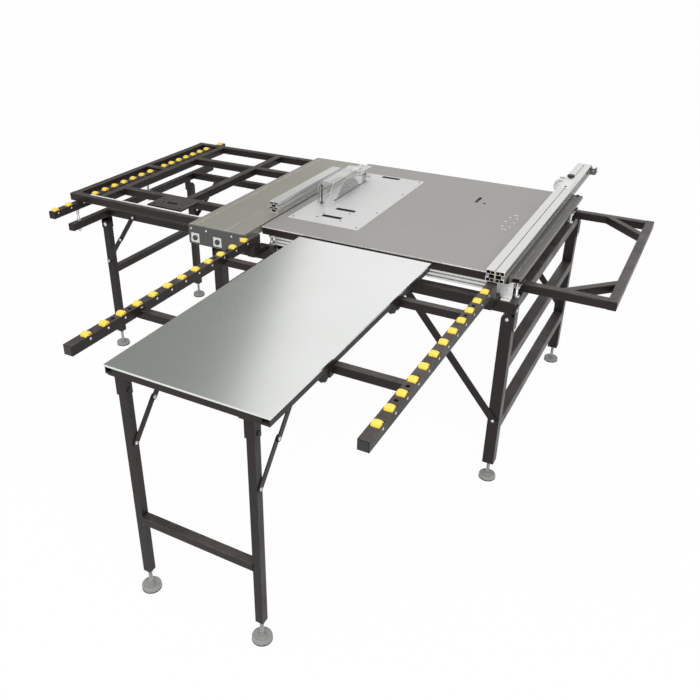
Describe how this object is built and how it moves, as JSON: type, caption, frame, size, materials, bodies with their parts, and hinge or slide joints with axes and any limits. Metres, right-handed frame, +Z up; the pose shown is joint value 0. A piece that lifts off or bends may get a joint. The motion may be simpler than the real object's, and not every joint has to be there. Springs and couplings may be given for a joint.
{
  "type": "multifunction woodworking table",
  "caption": "Saw bench with sliding table, tube outrigger, rip fence, roller rack, folding stainless extension table and right support frame.",
  "frame": {"origin": "middle of the footprint's bounding box, on the floor", "axes": "+X to the right support frame, +Y from the extension table to the rip fence's rear end, +Z up"},
  "size_m": [2.162, 2.261, 0.892],
  "materials": {
    "dark_paint": "dark brown-black semi-gloss paint",
    "table_steel": "satin ground steel",
    "insert_steel": "light satin steel",
    "stainless": "brushed stainless sheet",
    "deck_aluminium": "satin anodised aluminium",
    "fence_aluminium": "bright extruded aluminium",
    "yellow_roller": "yellow moulded plastic",
    "blade_steel": "ground steel",
    "motor_black": "black paint",
    "clear_guard": "clear plastic",
    "white_nylon": "white nylon"
  },
  "bodies": {
    "bench": {"base_frame": "dark_paint", "table_frame": "dark_paint", "table_plate": "table_steel", "insert_plate": "insert_steel", "saw_motor": "motor_black", "side_profile": "deck_aluminium", "front_fence_rail": "fence_aluminium", "roller_rack": "dark_paint", "stand_frame": "dark_paint", "outrigger_rail": "dark_paint", "support_frame": "dark_paint"},
    "sliding_table": {"sliding_top": "deck_aluminium", "crosscut_fence": "fence_aluminium", "outrigger_frame": "dark_paint"},
    "fence": {"rip_fence": "fence_aluminium"},
    "wheel": {"fence_wheel": "white_nylon"},
    "extension": {"extension_top": "stainless", "extension_frame": "dark_paint"},
    "extension_leg_pair": {"extension_legs": "dark_paint"},
    "stand_leg_pair": {"stand_legs": "dark_paint"},
    "right_leg_pair": {"right_legs": "dark_paint"},
    "left_leg_pair": {"left_legs": "dark_paint"},
    "guard": {"blade_guard": "clear_guard"},
    "blade": {"saw_blade": "blade_steel"},
    "stay_ext_left_upper": {"extension_stay_left_upper": "dark_paint"},
    "stay_ext_left_lower": {"extension_stay_left_lower": "dark_paint"},
    "stay_ext_right_upper": {"extension_stay_right_upper": "dark_paint"},
    "stay_ext_right_lower": {"extension_stay_right_lower": "dark_paint"},
    "stay_stand_front_upper": {"stand_stay_front_upper": "dark_paint"},
    "stay_stand_front_lower": {"stand_stay_front_lower": "dark_paint"},
    "stay_stand_rear_upper": {"stand_stay_rear_upper": "dark_paint"},
    "stay_stand_rear_lower": {"stand_stay_rear_lower": "dark_paint"},
    "brace_right_front_bar": {"brace_right_front": "dark_paint"},
    "brace_right_rear_bar": {"brace_right_rear": "dark_paint"},
    "brace_left_front_bar": {"brace_left_front": "dark_paint"},
    "brace_left_rear_bar": {"brace_left_rear": "dark_paint"},
    "roller_left_01_body": {"roller_left_01": "yellow_roller"},
    "roller_left_02_body": {"roller_left_02": "yellow_roller"},
    "roller_left_03_body": {"roller_left_03": "yellow_roller"},
    "roller_left_04_body": {"roller_left_04": "yellow_roller"},
    "roller_left_05_body": {"roller_left_05": "yellow_roller"},
    "roller_left_06_body": {"roller_left_06": "yellow_roller"},
    "roller_left_07_body": {"roller_left_07": "yellow_roller"},
    "roller_left_08_body": {"roller_left_08": "yellow_roller"},
    "roller_left_09_body": {"roller_left_09": "yellow_roller"},
    "roller_left_10_body": {"roller_left_10": "yellow_roller"},
    "roller_left_11_body": {"roller_left_11": "yellow_roller"},
    "roller_left_12_body": {"roller_left_12": "yellow_roller"},
    "roller_right_01_body": {"roller_right_01": "yellow_roller"},
    "roller_right_02_body": {"roller_right_02": "yellow_roller"},
    "roller_right_03_body": {"roller_right_03": "yellow_roller"},
    "roller_right_04_body": {"roller_right_04": "yellow_roller"},
    "roller_right_05_body": {"roller_right_05": "yellow_roller"},
    "roller_right_06_body": {"roller_right_06": "yellow_roller"},
    "roller_right_07_body": {"roller_right_07": "yellow_roller"},
    "roller_right_08_body": {"roller_right_08": "yellow_roller"},
    "roller_right_09_body": {"roller_right_09": "yellow_roller"},
    "roller_right_10_body": {"roller_right_10": "yellow_roller"},
    "roller_right_11_body": {"roller_right_11": "yellow_roller"},
    "roller_right_12_body": {"roller_right_12": "yellow_roller"}
  },
  "joints": [
    {"name": "table_slide", "type": "slide", "parent": "bench", "child": "sliding_table", "axis": [0, 1, 0], "range_m": [-0.33, 0.33]},
    {"name": "fence_slide", "type": "slide", "parent": "bench", "child": "fence", "axis": [1, 0, 0], "range_m": [-0.7, 0]},
    {"name": "extension_shift", "type": "slide", "parent": "bench", "child": "extension", "axis": [1, 0, 0], "range_m": [-0.13, 0.18]},
    {"name": "extension_leg_fold", "type": "hinge", "parent": "extension", "child": "extension_leg_pair", "pos_m": [0.039, -1.0925, 0.7152], "axis": [1, 0, 0], "range_deg": [0, 90]},
    {"name": "stand_leg_fold", "type": "hinge", "parent": "bench", "child": "stand_leg_pair", "pos_m": [-1.051, 0.0325, 0.605], "axis": [0, -1, 0], "range_deg": [0, 90]},
    {"name": "right_leg_fold", "type": "hinge", "parent": "bench", "child": "right_leg_pair", "pos_m": [0.771, -0.0955, 0.6515], "axis": [0, 1, 0], "range_deg": [0, 87]},
    {"name": "left_leg_fold", "type": "hinge", "parent": "bench", "child": "left_leg_pair", "pos_m": [-0.358, -0.0955, 0.6515], "axis": [0, -1, 0], "range_deg": [0, 75]},
    {"name": "guard_lift", "type": "hinge", "parent": "bench", "child": "guard", "pos_m": [-0.057, 0.5465, 0.8275], "axis": [-1, 0, 0], "range_deg": [0, 60]},
    {"name": "blade_spin", "type": "hinge", "parent": "bench", "child": "blade", "pos_m": [-0.057, 0.3955, 0.735], "axis": [1, 0, 0], "continuous": true},
    {"name": "wheel_spin", "type": "hinge", "parent": "fence", "child": "wheel", "pos_m": [0.6715, 0.9805, 0.776], "axis": [0, 1, 0], "continuous": true},
    {"name": "extension_stay_left_upper_pivot", "type": "hinge", "parent": "extension", "child": "stay_ext_left_upper", "pos_m": [0.0515, -0.9195, 0.7452], "axis": [1, 0, 0], "range_deg": [-49.8, 0]},
    {"name": "extension_stay_left_lower_pivot", "type": "hinge", "parent": "extension_leg_pair", "child": "stay_ext_left_lower", "pos_m": [0.0515, -1.0925, 0.5452], "axis": [1, 0, 0], "range_deg": [0, 28.11]},
    {"name": "extension_stay_right_upper_pivot", "type": "hinge", "parent": "extension", "child": "stay_ext_right_upper", "pos_m": [0.4465, -0.9195, 0.7452], "axis": [1, 0, 0], "range_deg": [-49.8, 0]},
    {"name": "extension_stay_right_lower_pivot", "type": "hinge", "parent": "extension_leg_pair", "child": "stay_ext_right_lower", "pos_m": [0.4465, -1.0925, 0.5452], "axis": [1, 0, 0], "range_deg": [0, 28.11]},
    {"name": "stand_stay_front_upper_pivot", "type": "hinge", "parent": "bench", "child": "stay_stand_front_upper", "pos_m": [-0.887, 0.0175, 0.665], "axis": [0, -1, 0], "range_deg": [-40.14, 0]},
    {"name": "stand_stay_front_lower_pivot", "type": "hinge", "parent": "stand_leg_pair", "child": "stay_stand_front_lower", "pos_m": [-1.051, 0.0175, 0.435], "axis": [0, -1, 0], "range_deg": [0, 26.25]},
    {"name": "stand_stay_rear_upper_pivot", "type": "hinge", "parent": "bench", "child": "stay_stand_rear_upper", "pos_m": [-0.887, 0.6525, 0.665], "axis": [0, -1, 0], "range_deg": [-40.14, 0]},
    {"name": "stand_stay_rear_lower_pivot", "type": "hinge", "parent": "stand_leg_pair", "child": "stay_stand_rear_lower", "pos_m": [-1.051, 0.6525, 0.435], "axis": [0, -1, 0], "range_deg": [0, 26.25]},
    {"name": "brace_right_front_pivot", "type": "hinge", "parent": "bench", "child": "brace_right_front_bar", "pos_m": [0.411, -0.1155, 0.693], "axis": [0, -1, 0], "range_deg": [0, 50.63]},
    {"name": "brace_right_rear_pivot", "type": "hinge", "parent": "bench", "child": "brace_right_rear_bar", "pos_m": [0.411, 0.8795, 0.693], "axis": [0, -1, 0], "range_deg": [0, 50.63]},
    {"name": "brace_left_front_pivot", "type": "hinge", "parent": "bench", "child": "brace_left_front_bar", "pos_m": [0.002, -0.1155, 0.693], "axis": [0, 1, 0], "range_deg": [0, 50.63]},
    {"name": "brace_left_rear_pivot", "type": "hinge", "parent": "bench", "child": "brace_left_rear_bar", "pos_m": [0.002, 0.8795, 0.693], "axis": [0, 1, 0], "range_deg": [0, 50.63]},
    {"name": "roller_left_01_spin", "type": "hinge", "parent": "bench", "child": "roller_left_01_body", "pos_m": [-0.148, -1.0205, 0.785], "axis": [1, 0, 0], "continuous": true},
    {"name": "roller_left_02_spin", "type": "hinge", "parent": "bench", "child": "roller_left_02_body", "pos_m": [-0.148, -0.94932, 0.785], "axis": [1, 0, 0], "continuous": true},
    {"name": "roller_left_03_spin", "type": "hinge", "parent": "bench", "child": "roller_left_03_body", "pos_m": [-0.148, -0.87814, 0.785], "axis": [1, 0, 0], "continuous": true},
    {"name": "roller_left_04_spin", "type": "hinge", "parent": "bench", "child": "roller_left_04_body", "pos_m": [-0.148, -0.80695, 0.785], "axis": [1, 0, 0], "continuous": true},
    {"name": "roller_left_05_spin", "type": "hinge", "parent": "bench", "child": "roller_left_05_body", "pos_m": [-0.148, -0.73577, 0.785], "axis": [1, 0, 0], "continuous": true},
    {"name": "roller_left_06_spin", "type": "hinge", "parent": "bench", "child": "roller_left_06_body", "pos_m": [-0.148, -0.66459, 0.785], "axis": [1, 0, 0], "continuous": true},
    {"name": "roller_left_07_spin", "type": "hinge", "parent": "bench", "child": "roller_left_07_body", "pos_m": [-0.148, -0.59341, 0.785], "axis": [1, 0, 0], "continuous": true},
    {"name": "roller_left_08_spin", "type": "hinge", "parent": "bench", "child": "roller_left_08_body", "pos_m": [-0.148, -0.52223, 0.785], "axis": [1, 0, 0], "continuous": true},
    {"name": "roller_left_09_spin", "type": "hinge", "parent": "bench", "child": "roller_left_09_body", "pos_m": [-0.148, -0.45104, 0.785], "axis": [1, 0, 0], "continuous": true},
    {"name": "roller_left_10_spin", "type": "hinge", "parent": "bench", "child": "roller_left_10_body", "pos_m": [-0.148, -0.37986, 0.785], "axis": [1, 0, 0], "continuous": true},
    {"name": "roller_left_11_spin", "type": "hinge", "parent": "bench", "child": "roller_left_11_body", "pos_m": [-0.148, -0.30868, 0.785], "axis": [1, 0, 0], "continuous": true},
    {"name": "roller_left_12_spin", "type": "hinge", "parent": "bench", "child": "roller_left_12_body", "pos_m": [-0.148, -0.2375, 0.785], "axis": [1, 0, 0], "continuous": true},
    {"name": "roller_right_01_spin", "type": "hinge", "parent": "bench", "child": "roller_right_01_body", "pos_m": [0.722, -1.0205, 0.785], "axis": [1, 0, 0], "continuous": true},
    {"name": "roller_right_02_spin", "type": "hinge", "parent": "bench", "child": "roller_right_02_body", "pos_m": [0.722, -0.94932, 0.785], "axis": [1, 0, 0], "continuous": true},
    {"name": "roller_right_03_spin", "type": "hinge", "parent": "bench", "child": "roller_right_03_body", "pos_m": [0.722, -0.87814, 0.785], "axis": [1, 0, 0], "continuous": true},
    {"name": "roller_right_04_spin", "type": "hinge", "parent": "bench", "child": "roller_right_04_body", "pos_m": [0.722, -0.80695, 0.785], "axis": [1, 0, 0], "continuous": true},
    {"name": "roller_right_05_spin", "type": "hinge", "parent": "bench", "child": "roller_right_05_body", "pos_m": [0.722, -0.73577, 0.785], "axis": [1, 0, 0], "continuous": true},
    {"name": "roller_right_06_spin", "type": "hinge", "parent": "bench", "child": "roller_right_06_body", "pos_m": [0.722, -0.66459, 0.785], "axis": [1, 0, 0], "continuous": true},
    {"name": "roller_right_07_spin", "type": "hinge", "parent": "bench", "child": "roller_right_07_body", "pos_m": [0.722, -0.59341, 0.785], "axis": [1, 0, 0], "continuous": true},
    {"name": "roller_right_08_spin", "type": "hinge", "parent": "bench", "child": "roller_right_08_body", "pos_m": [0.722, -0.52223, 0.785], "axis": [1, 0, 0], "continuous": true},
    {"name": "roller_right_09_spin", "type": "hinge", "parent": "bench", "child": "roller_right_09_body", "pos_m": [0.722, -0.45104, 0.785], "axis": [1, 0, 0], "continuous": true},
    {"name": "roller_right_10_spin", "type": "hinge", "parent": "bench", "child": "roller_right_10_body", "pos_m": [0.722, -0.37986, 0.785], "axis": [1, 0, 0], "continuous": true},
    {"name": "roller_right_11_spin", "type": "hinge", "parent": "bench", "child": "roller_right_11_body", "pos_m": [0.722, -0.30868, 0.785], "axis": [1, 0, 0], "continuous": true},
    {"name": "roller_right_12_spin", "type": "hinge", "parent": "bench", "child": "roller_right_12_body", "pos_m": [0.722, -0.2375, 0.785], "axis": [1, 0, 0], "continuous": true}
  ],
  "couplings": [
    {"joint": "extension_stay_left_upper_pivot", "follows": "extension_leg_fold", "ratio": -0.54782},
    {"joint": "extension_stay_left_lower_pivot", "follows": "extension_leg_fold", "ratio": 0.30672},
    {"joint": "extension_stay_right_upper_pivot", "follows": "extension_leg_fold", "ratio": -0.54782},
    {"joint": "extension_stay_right_lower_pivot", "follows": "extension_leg_fold", "ratio": 0.30672},
    {"joint": "stand_stay_front_upper_pivot", "follows": "stand_leg_fold", "ratio": -0.44046},
    {"joint": "stand_stay_front_lower_pivot", "follows": "stand_leg_fold", "ratio": 0.28607},
    {"joint": "stand_stay_rear_upper_pivot", "follows": "stand_leg_fold", "ratio": -0.44046},
    {"joint": "stand_stay_rear_lower_pivot", "follows": "stand_leg_fold", "ratio": 0.28607},
    {"joint": "brace_right_front_pivot", "follows": "right_leg_fold", "ratio": 0.5762},
    {"joint": "brace_right_rear_pivot", "follows": "right_leg_fold", "ratio": 0.5762},
    {"joint": "brace_left_front_pivot", "follows": "left_leg_fold", "ratio": 0.66839},
    {"joint": "brace_left_rear_pivot", "follows": "left_leg_fold", "ratio": 0.66839}
  ]
}
